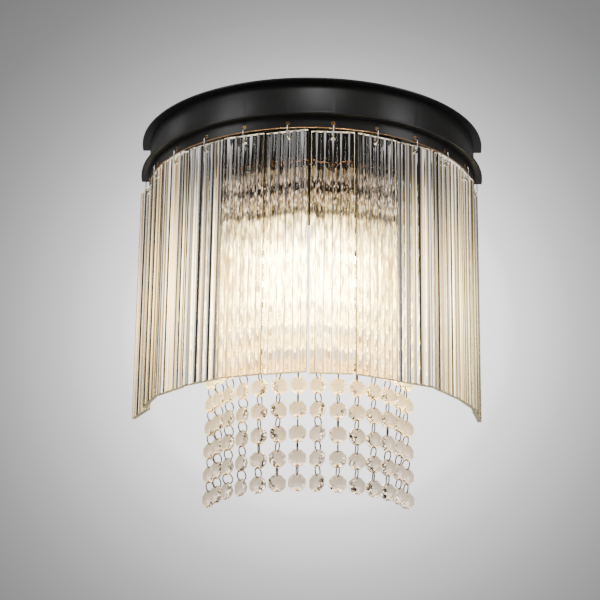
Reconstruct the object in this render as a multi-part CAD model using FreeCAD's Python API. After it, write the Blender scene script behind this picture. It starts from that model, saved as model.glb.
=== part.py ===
"""Half-round crystal wall sconce: a black metal half drum on the wall, a curtain of twelve reeded
crystal plates on wire links under its rim, and fourteen strings of octagon beads inside it that
hang round two candle bulbs.

Frame: millimetres, +Z up, the wall is the plane y = 0 and the front faces -Y.
The origin is the middle of the two wall screws, on the wall.
Angles round the drum are measured in degrees from -X (left end at the wall) over the front to +X.
"""
import FreeCAD
import Part
import os
from math import cos, pi, sin, sqrt, tan

Vector = FreeCAD.Vector

# ---------------------------------------------------------------- driving dimensions
# black half drum
band_radius = 143.0          # outer face of the rolled band
rim = 7.0                    # top plate and flange stand out past the band
sheet = 1.5                  # sheet of the top plate, the band, the flange and the inner ring
flange_z = 5.0               # underside of the flange above the wall screws
band_height = 30.0           # from the flange's underside to the top plate
skirt_drop = 10.0            # band below the flange's underside
hook_hole_height = 4.0       # holes for the plate links above the skirt's lower edge
hook_hole_diameter = 2.4

# inner half ring that carries the bead strings
ring_radius = 85.0           # middle of its sheet
ring_height = 24.3
ring_drop = 18.3             # lower edge below the flange's underside
string_hole_height = 3.0     # holes above its lower edge
string_hole_diameter = 2.2
stay_width = 10.0
stay_foot = 12.0
stay_lap = 9.0               # how far a stay laps the ring
stay_angles = (26.0, 90.0, 154.0)

# canopy on the wall
canopy_width = 140.0
canopy_below = 35.0          # lower edge below the wall screws
canopy_depth = 22.0
canopy_sheet = 1.2
canopy_corner = 8.0
stud_spacing = 110.0
stud_diameter = 4.0
stud_tail = 5.0              # stud in front of the canopy
cap_nut_flats = 8.0
cap_nut_hex = 4.0
cap_nut_dome = 4.5

# wall bracket
bracket_length = 126.0
bracket_height = 22.0
bracket_sheet = 2.0
slot_spacing = 60.0
slot_length = 12.0
slot_width = 5.0
bracket_corner = 3.0
cable_hole_diameter = 12.0
earth_screw_x = 44.0
earth_head = 7.0
earth_head_height = 2.6

# lamp holders and bulbs
lamp_spacing = 64.0
lamp_depth = 38.5            # lamp axis in front of the wall
holder_diameter = 27.0
holder_neck = 18.0
holder_length = 56.0
holder_shoulder = 6.0
holder_top_z = 12.0
holder_bore = 14.6
holder_bore_depth = 24.0
nipple_diameter = 10.0
nipple_above = 4.0
nut_flats = 14.0
nut_height = 3.0
strap_width = 16.0
strap_sheet = 1.5
strap_leg = 18.0
bulb_diameter = 35.0
bulb_length = 82.0           # glass only
bulb_neck = 15.0
bulb_widest = 0.40           # height of the widest place, as a share of the glass
bulb_cap_diameter = 13.9
bulb_cap_length = 22.0
bulb_tip = 3.0

# wiring inside the canopy
block_width = 30.0
block_height = 12.0
block_depth = 11.0
block_groove = 2.0
lead_diameter = 3.0
lead_bend = 9.0
lead_rise = 1.0              # straight start out of the nipple
bush_diameter = 8.0
bush_bore = 5.2
bush_length = 4.0

# crystal plates
plate_count = 12
plate_end_angle = 8.25       # from the wall to the first and last plates' middles, in degrees
plate_gap = 0.6              # between the inner edges of two plates
plate_length = 205.4
plate_thickness = 4.0        # over the reeds
plate_corner = 1.2
plate_hole_diameter = 3.2
plate_hole_inset = 5.5       # middle of the hole below the plate's top edge
reed_count = 5
reed_depth = 0.7
reed_margin = 1.2            # flat strip beside the outer reeds

# wire links that carry the plates
link_wire = 1.0
link_half_width = 3.5        # middle of a leg from the link's middle
link_length = 12.6           # from the top wire to the bottom wire, middles
link_clearance = 0.09        # least gap between a plate's bore and its link in any pose

# bead strings
string_count = 14
string_end_angle = 18.2      # from the wall to the first and last strings, in degrees
bead_rows = 14
bead_size = 14.0             # across flats
bead_thickness = 6.5
bead_side_count = 8
bead_hole_inset = 1.4        # drilled holes in from the flat edges
jump_ring_diameter = 9.0     # to the middle of the wire
jump_ring_side_count = 5
jump_ring_wire = 0.9
string_turns = (4, -6, 5, -4, 8, 40, 5, -34, -16, 6, 3, -5, 7, -4)   # about themselves, in degrees
twist_rows = 3               # rows over which a string takes up its turn

# ---------------------------------------------------------------- derived places
drum_radius = band_radius + rim
band_inner = band_radius - sheet
top_z = flange_z + band_height
skirt_z = flange_z - skirt_drop
band_middle = band_radius - sheet / 2
hook_hole_z = skirt_z + hook_hole_height
ring_low_z = flange_z - ring_drop
ring_high_z = ring_low_z + ring_height
string_hole_z = ring_low_z + string_hole_height
canopy_low_z = -canopy_below
canopy_front = -canopy_depth
lamp_sides = (-1, 1)
holder_low_z = holder_top_z - holder_length

# faces of what repeats or hides: few, and flat
hole_side_count = 4          # holes of the wire links and of the strings
shank_side_count = 8         # studs, nipples and the holes that they pass
lathe_side_count = 12        # holders, bulbs and their caps
ring_side_count = 24         # flats of the inner half ring
wire_side_count = 3          # links and jump rings
lead_side_count = 4
nut_side_count = 6
Z_AXIS = Vector(0, 0, 1)
ORIGIN = Vector(0, 0, 0)


# ---------------------------------------------------------------- shape helpers
def box(x0, x1, y0, y1, z0, z1):
    """Box between two corners."""
    return Part.makeBox(x1 - x0, y1 - y0, z1 - z0, Vector(x0, y0, z0))


def half_ring(outer, inner, z0, z1):
    """Half annulus in front of the wall, as a solid between two heights."""
    outer_arc = Part.Arc(Vector(-outer, 0, z0), Vector(0, -outer, z0), Vector(outer, 0, z0))
    inner_arc = Part.Arc(Vector(inner, 0, z0), Vector(0, -inner, z0), Vector(-inner, 0, z0))
    sides = [Part.makeLine(Vector(outer, 0, z0), Vector(inner, 0, z0)),
             Part.makeLine(Vector(-inner, 0, z0), Vector(-outer, 0, z0))]
    wire = Part.Wire([outer_arc.toShape(), sides[0], inner_arc.toShape(), sides[1]])
    return Part.Face(wire).extrude(Vector(0, 0, z1 - z0))


def half_ring_of_flats(outer, inner, z0, z1, flats):
    """Half annulus like the one above, bent in short flats."""
    turns = [pi * k / flats for k in range(flats + 1)]
    points = [Vector(-outer * cos(turn), -outer * sin(turn), z0) for turn in turns]
    points += [Vector(-inner * cos(turn), -inner * sin(turn), z0) for turn in reversed(turns)]
    return Part.Face(Part.makePolygon(points + points[:1])).extrude(Vector(0, 0, z1 - z0))


def half_disc(radius, z0, z1):
    """Half disc in front of the wall."""
    arc = Part.Arc(Vector(-radius, 0, z0), Vector(0, -radius, z0), Vector(radius, 0, z0))
    wire = Part.Wire([arc.toShape(), Part.makeLine(Vector(radius, 0, z0), Vector(-radius, 0, z0))])
    return Part.Face(wire).extrude(Vector(0, 0, z1 - z0))


def polygon_points(sides, flats, centre, first, second):
    """Corners of a regular polygon of the given width across flats, one flat across `first`."""
    corner = flats / 2 / cos(pi / sides)
    points = []
    for k in range(sides):
        angle = (2 * k + 1) * pi / sides
        points.append(centre + first * (corner * cos(angle)) + second * (corner * sin(angle)))
    return points


def prism(sides, flats, base, along):
    """Regular prism from `base` along a vector; across flats it has the width `flats`."""
    first = Vector(1, 0, 0) if abs(along.x) < 0.5 * along.Length else Vector(0, 1, 0)
    first = (first - along * (first.dot(along) / along.dot(along))).normalize()
    second = along.cross(first).normalize()
    points = polygon_points(sides, flats, base, first, second)
    return Part.Face(Part.makePolygon(points + points[:1])).extrude(along)


def polyhedron(faces):
    """Solid with the given flat faces."""
    shell = Part.makeShell([Part.Face(Part.makePolygon(face + face[:1])) for face in faces])
    shell.sewShape()
    solid = Part.makeSolid(shell)
    if solid.Volume < 0:
        solid.reverse()
    return solid


def rod(points, diameter, sides, closed=False):
    """Bent wire along a path of straight runs with mitred corners.

    The section is a regular polygon whose area is that of the round wire. Each run carries the
    section along itself to the plane that halves the corner, so every side stays flat.
    """
    count = len(points)
    radius = diameter / 2 * sqrt(2 * pi / (sides * sin(2 * pi / sides)))
    runs = [(points[(k + 1) % count] - points[k]).normalize() for k in range(count)]
    if not closed:
        runs[-1] = runs[-2]
    plane = runs[0].cross(runs[1])
    side = plane.normalize() if plane.Length > 1e-6 else runs[0].cross(Vector(1, 2, 3)).normalize()
    up = runs[0].cross(side).normalize()
    section = []
    for k in range(sides):
        angle = 2 * pi * k / sides
        section.append(points[0] + side * (radius * cos(angle)) + up * (radius * sin(angle)))
    loops = []
    for k in range(count):
        before = runs[k - 1] if (closed or k > 0) else runs[0]
        normal = before + runs[k]
        carry = runs[0] if k == 0 else before
        loop = []
        for corner in section:
            shift = normal.dot(points[k] - corner) / normal.dot(carry)
            loop.append(corner + carry * shift)
        loops.append(loop)
        section = loop
    faces = []
    for k in range(count if closed else count - 1):
        near = loops[k]
        far = loops[(k + 1) % count]
        for j in range(sides):
            after = (j + 1) % sides
            faces.append([near[j], near[after], far[after], far[j]])
    if not closed:
        faces.append(loops[0][::-1])
        faces.append(loops[-1])
    return polyhedron(faces)


def lathe(profile, x, y):
    """Turned solid about a vertical axis: (radius, height) points from top to bottom, on flats."""
    loops = []
    for radius, z in profile:
        loops.append(polygon_points(lathe_side_count, 2 * radius, Vector(x, y, z),
                                    Vector(1, 0, 0), Vector(0, 1, 0)))
    faces = [loops[0], loops[-1][::-1]]
    for upper, lower in zip(loops, loops[1:]):
        for k in range(lathe_side_count):
            after = (k + 1) % lathe_side_count
            faces.append([upper[k], lower[k], lower[after], upper[after]])
    return polyhedron(faces)


def round_the_drum(shape, radius, angle):
    """Copy of a shape made at the front, moved out to a radius and round to an angle."""
    copy = shape.copy()
    copy.translate(Vector(0, -radius, 0))
    copy.rotate(ORIGIN, Z_AXIS, angle - 90)
    return copy


def spread(count, end_angle):
    """Angles of `count` places, evenly spread from one end's angle at the wall to the other's."""
    step = (180 - 2 * end_angle) / (count - 1)
    return [end_angle + k * step for k in range(count)]


def write(name, shape):
    """Write one node."""
    shape.exportStep("parts/" + name + ".step")


# ---------------------------------------------------------------- black half drum
def drilled(band, outer, hole_z, hole_diameter, angles):
    """Half band with a row of radial holes."""
    reach = 3 * sheet
    drill = prism(hole_side_count, hole_diameter, Vector(0, -sheet, hole_z), Vector(0, reach, 0))
    drills = [round_the_drum(drill, outer, angle) for angle in angles]
    return band.cut(Part.makeCompound(drills))


def make_drum(plate_angles, string_angles):
    """Top plate, band, flange, inner half ring and the stays that hold it."""
    write("top_plate", half_disc(drum_radius, top_z, top_z + sheet))
    band = half_ring(band_radius, band_inner, skirt_z, top_z)
    write("outer_band", drilled(band, band_radius, hook_hole_z, hook_hole_diameter, plate_angles))
    write("band_flange", half_ring(drum_radius, band_radius, flange_z, flange_z + sheet))
    ring_outer = ring_radius + sheet / 2
    ring = half_ring_of_flats(ring_outer, ring_outer - sheet, ring_low_z, ring_high_z, ring_side_count)
    write("inner_ring", drilled(ring, ring_outer, string_hole_z, string_hole_diameter,
                                string_angles))
    back = stay_width / 2
    leg = box(-back, back, 0, sheet, ring_high_z - stay_lap, top_z)
    foot = box(-back, back, 0, stay_foot, top_z - sheet, top_z)
    stay = leg.fuse(foot).removeSplitter()
    flat_radius = (ring_radius - sheet / 2) * cos(pi / 2 / ring_side_count)
    inner_corner = sqrt(flat_radius ** 2 - back ** 2)
    stays = [round_the_drum(stay, inner_corner, angle) for angle in stay_angles]
    write("ring_stays", Part.makeCompound(stays))


# ---------------------------------------------------------------- canopy and wall bracket
def rounded_front(width, z0, z1, corner, y0, y1):
    """Rectangle seen from the front, its corners rounded in two flats, between two depths."""
    steps = 2
    points = []
    for across, up, first in ((1, 1, 0), (-1, 1, 1), (-1, -1, 2), (1, -1, 3)):
        centre = Vector(across * (width / 2 - corner), y0, (z1 if up > 0 else z0) - up * corner)
        for k in range(steps + 1):
            angle = (first + k / steps) * pi / 2
            points.append(centre + Vector(cos(angle), 0, sin(angle)) * corner)
    return Part.Face(Part.makePolygon(points + points[:1])).extrude(Vector(0, y1 - y0, 0))


def make_canopy():
    """Pan that covers the bracket, with its two studs, cap nuts and lead bushes."""
    outer = rounded_front(canopy_width, canopy_low_z, top_z, canopy_corner, canopy_front, 0)
    inner = rounded_front(canopy_width - 2 * canopy_sheet, canopy_low_z + canopy_sheet,
                          top_z - canopy_sheet, canopy_corner - canopy_sheet,
                          canopy_front + canopy_sheet, canopy_depth)
    pan = outer.cut(inner)
    through = Vector(0, 4 * canopy_sheet, 0)
    holes = []
    for side in lamp_sides:
        stud_hole = Vector(side * stud_spacing / 2, canopy_front - canopy_sheet, 0)
        holes.append(prism(shank_side_count, stud_diameter + 0.6, stud_hole, through))
        lead_hole = Vector(side * lamp_spacing / 2, canopy_front - canopy_sheet, lead_z())
        holes.append(prism(nut_side_count, bush_diameter, lead_hole, through))
    write("canopy", pan.cut(Part.makeCompound(holes)))

    studs = []
    nuts = []
    for side in lamp_sides:
        x = side * stud_spacing / 2
        stud_length = canopy_depth - bracket_sheet + stud_tail
        studs.append(prism(shank_side_count, stud_diameter, Vector(x, -bracket_sheet, 0),
                           Vector(0, -stud_length, 0)))
        face = Vector(x, canopy_front, 0)
        hexagon = prism(nut_side_count, cap_nut_flats, face, Vector(0, -cap_nut_hex, 0))
        collar = Vector(x, canopy_front - cap_nut_hex, 0)
        dome = prism(shank_side_count, 0.7 * cap_nut_flats, collar, Vector(0, -cap_nut_dome, 0))
        bore = prism(shank_side_count, stud_diameter, face, Vector(0, -stud_tail, 0))
        nuts.append(hexagon.fuse(dome).cut(bore))
    write("bracket_studs", Part.makeCompound(studs))
    write("cap_nuts", Part.makeCompound(nuts))


def make_bracket():
    """Flat bar on the wall with two slots for the wall screws and the cable hole."""
    bar = rounded_front(bracket_length, -bracket_height / 2, bracket_height / 2, bracket_corner,
                        -bracket_sheet, 0)
    cuts = []
    straight = (slot_length - slot_width) / 2
    for side in lamp_sides:
        x = side * slot_spacing / 2
        slot = box(x - straight, x + straight, -2 * bracket_sheet, bracket_sheet,
                   -slot_width / 2, slot_width / 2)
        for end in (-1, 1):
            slot = slot.fuse(Part.makeCylinder(slot_width / 2, 3 * bracket_sheet,
                                               Vector(x + end * straight, -2 * bracket_sheet, 0),
                                               Vector(0, 1, 0)))
        cuts.append(slot)
    cuts.append(Part.makeCylinder(cable_hole_diameter / 2, 3 * bracket_sheet,
                                  Vector(0, -2 * bracket_sheet, 0), Vector(0, 1, 0)))
    for cut in cuts:
        bar = bar.cut(cut)
    write("wall_bracket", bar)
    head = prism(nut_side_count, earth_head, Vector(earth_screw_x, -bracket_sheet, 0),
                 Vector(0, -earth_head_height, 0))
    write("earth_screw", head)


# ---------------------------------------------------------------- lamp holders, bulbs, wiring
def lead_z():
    """Height at which the leads enter the canopy."""
    return holder_top_z + strap_sheet + nipple_above + lead_rise + lead_bend


def arc_points(centre, first, second, radius, steps):
    """Points of a quarter turn from `first` to `second` about a centre."""
    points = []
    for k in range(steps + 1):
        angle = pi / 2 * k / steps
        points.append(centre + first * (radius * cos(angle)) + second * (radius * sin(angle)))
    return points


def bulb_profile():
    """Candle glass, from its neck down to its tip: a sine swell that draws in to a point."""
    steps = 6
    profile = []
    neck = bulb_neck / 2
    swell = bulb_diameter / 2
    for k in range(steps + 1):
        share = k / steps
        if share <= bulb_widest:
            radius = neck + (swell - neck) * sin(pi / 2 * share / bulb_widest)
        else:
            fall = (share - bulb_widest) / (1 - bulb_widest)
            radius = bulb_tip + (swell - bulb_tip) * cos(pi / 2 * fall) ** 0.9
        profile.append((radius, holder_low_z - bulb_length * share))
    return profile


def make_lamps():
    """Two strapped candle holders with their bulbs, nipples, nuts and leads."""
    straps, holders, nipples, glasses, caps, leads, bushes = [], [], [], [], [], [], []
    for side in lamp_sides:
        x = side * lamp_spacing / 2
        y = -lamp_depth
        leg = box(x - strap_width / 2, x + strap_width / 2, canopy_front - strap_sheet, canopy_front,
                  holder_top_z + strap_sheet - strap_leg, holder_top_z + strap_sheet)
        arm = box(x - strap_width / 2, x + strap_width / 2, y - strap_width / 2, canopy_front,
                  holder_top_z, holder_top_z + strap_sheet)
        hole = prism(shank_side_count, nipple_diameter, Vector(x, y, holder_top_z - strap_sheet),
                     Vector(0, 0, 3 * strap_sheet))
        straps.append(leg.fuse(arm).removeSplitter().cut(hole))

        body = holder_diameter / 2
        shell = lathe([(holder_neck / 2, holder_top_z), (body, holder_top_z - holder_shoulder),
                       (body, holder_low_z)], x, y)
        socket = lathe([(holder_bore / 2, holder_low_z + holder_bore_depth),
                        (holder_bore / 2, holder_low_z - 1)], x, y)
        holders.append(shell.cut(socket))

        top = holder_top_z + strap_sheet
        stub = prism(shank_side_count, nipple_diameter - 0.4, Vector(x, y, holder_top_z),
                     Vector(0, 0, strap_sheet + nipple_above))
        nut = prism(nut_side_count, nut_flats, Vector(x, y, top), Vector(0, 0, nut_height))
        nipples.append(stub.fuse(nut))

        glasses.append(lathe(bulb_profile(), x, y))
        caps.append(lathe([(bulb_cap_diameter / 2, holder_low_z + bulb_cap_length),
                           (bulb_cap_diameter / 2, holder_low_z)], x, y))

        rise = Vector(0, 0, 1)
        back = Vector(0, 1, 0)
        start = Vector(x, y, top + nipple_above)
        first_turn = arc_points(start + rise * lead_rise + back * lead_bend, back * -1, rise,
                                lead_bend, 3)
        inside_y = canopy_front + canopy_sheet + block_depth / 2
        turn = block_depth / 2
        inward = Vector(-side, 0, 0)
        corner = Vector(x, inside_y - turn, lead_z()) + inward * turn
        second_turn = arc_points(corner, inward * -1, back, turn, 2)
        end = Vector(side * block_width / 2, inside_y, lead_z())
        leads.append(rod([start] + first_turn + second_turn + [end], lead_diameter,
                         lead_side_count))
        bush_start = Vector(x, canopy_front - bush_length / 2 + canopy_sheet / 2, lead_z())
        bush = prism(nut_side_count, bush_diameter, bush_start, Vector(0, bush_length, 0))
        bore = prism(hole_side_count, bush_bore, bush_start + back * -1, Vector(0, bush_length + 2, 0))
        bushes.append(bush.cut(bore))
    write("holder_straps", Part.makeCompound(straps))
    write("lamp_holders", Part.makeCompound(holders))
    write("holder_nipples", Part.makeCompound(nipples))
    write("bulb_glasses", Part.makeCompound(glasses))
    write("bulb_caps", Part.makeCompound(caps))
    write("holder_leads", Part.makeCompound(leads))
    write("lead_bushes", Part.makeCompound(bushes))

    front = canopy_front + canopy_sheet
    low = lead_z() - block_height / 2
    block = box(-block_width / 2, block_width / 2, front, front + block_depth,
                low, low + block_height)
    for side in lamp_sides:
        x = side * block_width / 6
        block = block.cut(box(x - block_groove / 2, x + block_groove / 2,
                              front + block_depth - block_groove, front + 2 * block_depth,
                              low - 1, low + block_height + 1))
    write("terminal_block", block)


# ---------------------------------------------------------------- crystal plates and their links
def link_centres():
    """Heights of the middles of a link's round ends, lower and upper."""
    lower = hook_hole_z - link_length + link_half_width
    return lower, hook_hole_z - link_half_width


def plate_width():
    """Width that leaves the gap between the inner edges of two plates."""
    half_step = (90 - plate_end_angle) / (plate_count - 1) * pi / 180
    return 2 * (band_middle - plate_thickness / 2) * tan(half_step) - plate_gap


def plate_bore():
    """Height of a plate's bore below the middle of its link's lower end.

    The bore's upper edge stays inside the round end of the link at every angle: the corner of the
    bore is one clearance closer to the end's middle than the wire is.
    """
    reach = link_half_width - link_wire / 2 - link_clearance
    upper = sqrt(reach ** 2 - (plate_thickness / 2) ** 2)
    return upper + plate_hole_diameter / 2


def make_plate():
    """One reeded crystal plate at the front, its middle plane at y = 0."""
    lower_centre, _ = link_centres()
    bore_z = lower_centre - plate_bore()
    upper_z = bore_z + plate_hole_inset
    lower_z = upper_z - plate_length
    half = plate_width() / 2
    back = plate_thickness / 2
    valley = -back + reed_depth
    pitch = 2 * (half - reed_margin) / reed_count
    section = [(-half, valley), (-half, back), (half, back), (half, valley)]
    for k in range(reed_count):
        right = half - reed_margin - k * pitch
        section += [(right, valley), (right - pitch / 2, -back)]
    section.append((-half + reed_margin, valley))
    points = [Vector(x, y, lower_z) for x, y in section]
    blank = Part.Face(Part.makePolygon(points + points[:1])).extrude(Vector(0, 0, plate_length))
    c = plate_corner
    corners = [(-half, lower_z + c), (-half + c, lower_z), (half - c, lower_z), (half, lower_z + c),
               (half, upper_z - c), (half - c, upper_z), (-half + c, upper_z), (-half, upper_z - c)]
    outline = [Vector(x, -plate_thickness, z) for x, z in corners]
    cutter = Part.Face(Part.makePolygon(outline + outline[:1]))
    plate = blank.common(cutter.extrude(Vector(0, 2 * plate_thickness, 0)))
    bore = prism(shank_side_count, plate_hole_diameter, Vector(0, -plate_thickness, bore_z),
                 Vector(0, 2 * plate_thickness, 0))
    return plate.cut(bore)


def make_link():
    """One oval wire link at the front: two legs and two ends of three flats round half a circle."""
    lower_centre, upper_centre = link_centres()
    corner = link_half_width / cos(pi / 8)
    points = []
    for centre, first in ((lower_centre, pi), (upper_centre, 0.0)):
        for k in range(4):
            angle = first + pi / 8 + k * pi / 4
            points.append(Vector(0, corner * cos(angle), centre + corner * sin(angle)))
    return rod(points, link_wire, wire_side_count, closed=True)


def make_curtain(plate_angles):
    """Twelve plates, each a node, and the links that carry them as one group."""
    plate = make_plate()
    link = make_link()
    for k, angle in enumerate(plate_angles):
        write("plate_%02d" % (k + 1), round_the_drum(plate, band_middle, angle))
    links = [round_the_drum(link, band_middle, angle) for angle in plate_angles]
    write("plate_links", Part.makeCompound(links))


# ---------------------------------------------------------------- bead strings
def make_bead():
    """Octagon crystal about the origin: flat face to the front (-Y), eight facets to a point behind.

    The face lies a quarter of the thickness in front, so that the bead hangs plumb.
    """
    front = Vector(0, -bead_thickness / 4, 0)
    face = polygon_points(bead_side_count, bead_size, front, Vector(1, 0, 0), Z_AXIS)
    point = front + Vector(0, bead_thickness, 0)
    facets = [[face[k - 1], face[k], point] for k in range(bead_side_count)]
    return polyhedron([face] + facets)


def make_jump_ring():
    """Wire ring in the plane x = 0: a straight run at its top, a corner at its bottom.

    Its height between the middles of top run and bottom corner is the real ring's diameter, and
    the origin is halfway between them. The level top run passes through a hole in sheet.
    """
    half_side = pi / jump_ring_side_count
    reach = jump_ring_diameter / (1 + cos(half_side))
    centre = reach - jump_ring_diameter / 2
    points = []
    for k in range(jump_ring_side_count):
        angle = pi / 2 + (2 * k + 1) * half_side
        points.append(Vector(0, reach * cos(angle), centre + reach * sin(angle)))
    return rod(points, jump_ring_wire, wire_side_count, closed=True)


def make_strings(string_angles):
    """Fourteen strings: each has a node of beads and a node of jump rings."""
    bead = make_bead()
    jump_ring = make_jump_ring()
    hole_reach = bead_size / 2 - bead_hole_inset
    pitch = 2 * hole_reach + jump_ring_diameter
    for s, (angle, turn) in enumerate(zip(string_angles, string_turns)):
        beads = []
        rings = []
        for row in range(bead_rows):
            ring_z = string_hole_z - jump_ring_diameter / 2 - row * pitch
            bead_z = ring_z - jump_ring_diameter / 2 - hole_reach
            for shape, z, group, place in ((jump_ring, ring_z, rings, row),
                                           (bead, bead_z, beads, row + 0.5)):
                piece = shape.copy()
                piece.rotate(ORIGIN, Z_AXIS, turn * min(place / twist_rows, 1))
                piece.translate(Vector(0, 0, z))
                group.append(round_the_drum(piece, ring_radius, angle))
        write("string_%02d_beads" % (s + 1), Part.makeCompound(beads))
        write("string_%02d_rings" % (s + 1), Part.makeCompound(rings))


# ---------------------------------------------------------------- the whole lamp
def main():
    os.makedirs("parts", exist_ok=True)
    plate_angles = spread(plate_count, plate_end_angle)
    string_angles = spread(string_count, string_end_angle)
    make_drum(plate_angles, string_angles)
    make_canopy()
    make_bracket()
    make_lamps()
    make_curtain(plate_angles)
    make_strings(string_angles)


main()
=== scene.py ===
"""Looks of the half-round crystal wall sconce, in metres, in the frame of its CAD model.

The wall is the plane y = 0, the front faces -Y, +Z is up. Lengths below are in millimetres until
a shape becomes a piece. Angles round the drum run from -X over the front to +X.
"""
from math import cos, pi, radians, sin, sqrt

import bmesh
import bpy
import numpy as np
from mathutils import Matrix, Vector


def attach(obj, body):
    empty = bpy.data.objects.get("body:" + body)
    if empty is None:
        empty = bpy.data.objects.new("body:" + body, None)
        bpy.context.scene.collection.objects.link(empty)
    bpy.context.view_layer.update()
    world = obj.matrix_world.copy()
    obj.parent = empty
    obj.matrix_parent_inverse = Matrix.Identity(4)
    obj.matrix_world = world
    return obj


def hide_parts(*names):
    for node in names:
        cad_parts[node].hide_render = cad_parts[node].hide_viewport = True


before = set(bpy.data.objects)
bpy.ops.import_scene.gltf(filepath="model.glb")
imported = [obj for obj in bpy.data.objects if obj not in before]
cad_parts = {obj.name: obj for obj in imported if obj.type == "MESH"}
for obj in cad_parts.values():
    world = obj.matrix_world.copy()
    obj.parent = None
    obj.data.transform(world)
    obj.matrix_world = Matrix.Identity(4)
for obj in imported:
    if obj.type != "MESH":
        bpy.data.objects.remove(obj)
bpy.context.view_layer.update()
MM = 0.001

# ---------------------------------------------------------------- sizes of the CAD model, in mm
BAND_RADIUS = 143.0
RIM = 7.0
SHEET = 1.5
FLANGE_Z = 5.0
TOP_Z = 35.0
SKIRT_Z = -5.0
HOOK_HOLE_Z = -1.0
BAND_MIDDLE = BAND_RADIUS - SHEET / 2
PLATES = (12, 8.25)                        # count, angle of the first
PLATE_WIDTH = 35.4                         # 36 in the solids, which hang straight
PLATE_LENGTH = 205.4
PLATE_THICKNESS = 4.0
PLATE_HOLE = 3.2
PLATE_HOLE_INSET = 5.5
REED_COUNT = 5
REED_DEPTH = 0.7
REED_MARGIN = 1.2
REED_PITCH = 2 * (PLATE_WIDTH / 2 - REED_MARGIN) / REED_COUNT
LINK_WIRE = 1.0
LINK_HALF_WIDTH = 3.5
LINK_LENGTH = 12.6
LINK_CLEARANCE = 0.09
LINK_LOW_Z = HOOK_HOLE_Z - LINK_LENGTH + LINK_HALF_WIDTH    # middle of the lower round end
RING_RADIUS = 85.0
RING_LOW_Z = -13.3
RING_HEIGHT = 24.3
STRING_HOLE_Z = -10.3
STRINGS = (14, 18.2)                       # count, angle of the first
BEAD_ROWS = 14
BEAD_SIZE = 14.0
BEAD_THICKNESS = 6.5
BEAD_REACH = BEAD_SIZE / 2 - 1.4           # from a bead's middle to its holes
JUMP_RING = 9.0
JUMP_WIRE = 1.15
LAMP_X = 32.0
LAMP_Y = -38.5
HOLDER_TOP_Z = 12.0
HOLDER_LOW_Z = -44.0
HOLDER_RADIUS = 13.5
BULB_LENGTH = 82.0
BULB_RADIUS = 17.5
BULB_NECK = 7.5
LEAD_RADIUS = 1.5
STRAP = 1.5                                # sheet of the holders' straps
NIPPLE_ABOVE = 4.0                         # nipple above its strap
STUD_X = 55.0
CANOPY = (140.0, -35.0, 35.0, 22.0, 8.0)   # width, low, top, depth, corner

# ---------------------------------------------------------------- sizes that only the looks have
SHEET_EDGE = 0.3             # rounding of the edges of rolled sheet
PRESSED_EDGE = 0.35          # and of the flat pressed parts
HOOK_HOLE = 1.2              # radius of the band's drilled holes
HOOK_RIM = 1.3               # and of the middle of their copper rims
STRING_HOLE = 1.1            # the same two of the inner ring
STRING_RIM = 1.2
RIM_WIRE = 0.25
CUT_DEPTH = 3.0              # half the length of the drill through a sheet
BEAD_HOLE = 0.65
BEAD_CUT = 6.0               # half the length of the drill through a bead
TABLE_AREA = 20.0            # a bead's flat face is larger than this, its facets are smaller
PLATE_LEAN = (18.0, -3.0, 4.0, 2.0, 3.0, -7.5, -4.5, 4.0, -8.0, 3.0, -3.0, -4.0)
STRING_TURN = (32.0, 20.0, 5.0, -4.0, 8.0, 40.0, 5.0, -34.0, -16.0, -12.0, -18.0, -25.0, -30.0,
               -42.0)
FRONT_REACH = 30             # plates less than this many degrees off the front show the lamp
LAMP_MIDDLE = (0.0, -0.05, -0.095)         # middle between the two bulbs, in metres
GLOW_MIDDLE = (0.0, -0.14, -0.135)         # brightest place of the front plates, in metres


# ---------------------------------------------------------------- mesh helpers
def grid_faces(rows, columns, wrap_rows=False, wrap_columns=False):
    """Quads of a grid of points: corner (i, j), (i, j+1), (i+1, j+1), (i+1, j) for each cell."""
    i = np.arange(rows if wrap_rows else rows - 1)[:, None]
    j = np.arange(columns if wrap_columns else columns - 1)[None, :]
    ahead, beside = (i + 1) % rows, (j + 1) % columns
    corners = [i * columns + j, i * columns + beside, ahead * columns + beside, ahead * columns + j]
    return np.stack(np.broadcast_arrays(*corners), axis=-1).reshape(-1, 4).tolist()


def capped_faces(rows, columns):
    """Faces of a row of closed loops, with the first and the last loop filled."""
    caps = [list(range(columns)), list(range((rows - 1) * columns, rows * columns))]
    return grid_faces(rows, columns, wrap_columns=True) + caps


def full_turn(steps):
    """Evenly spread angles all the way round, in radians."""
    return np.linspace(0, 2 * pi, steps, endpoint=False)


def make_mesh(name, points, faces):
    """Mesh in metres from points in millimetres, doubles merged and faces turned outwards."""
    mesh = bpy.data.meshes.new(name)
    mesh.from_pydata((np.asarray(points, float).reshape(-1, 3) * MM).tolist(), [], faces)
    mesh.update()
    work = bmesh.new()
    work.from_mesh(mesh)
    bmesh.ops.remove_doubles(work, verts=work.verts, dist=1e-6)
    bmesh.ops.dissolve_degenerate(work, edges=work.edges, dist=1e-7)
    bmesh.ops.recalc_face_normals(work, faces=work.faces)
    work.to_mesh(mesh)
    work.free()
    return mesh


def mesh_arrays(mesh):
    """Points in millimetres and faces of a mesh."""
    points = np.empty(len(mesh.vertices) * 3)
    mesh.vertices.foreach_get("co", points)
    return points.reshape(-1, 3) / MM, [list(face.vertices) for face in mesh.polygons]


def join(parts):
    """One list of points and faces from several."""
    points, faces, start = [], [], 0
    for these_points, these_faces in parts:
        these_points = np.asarray(these_points, float).reshape(-1, 3)
        points.append(these_points)
        faces += [[corner + start for corner in face] for face in these_faces]
        start += len(these_points)
    return np.concatenate(points), faces


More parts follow.
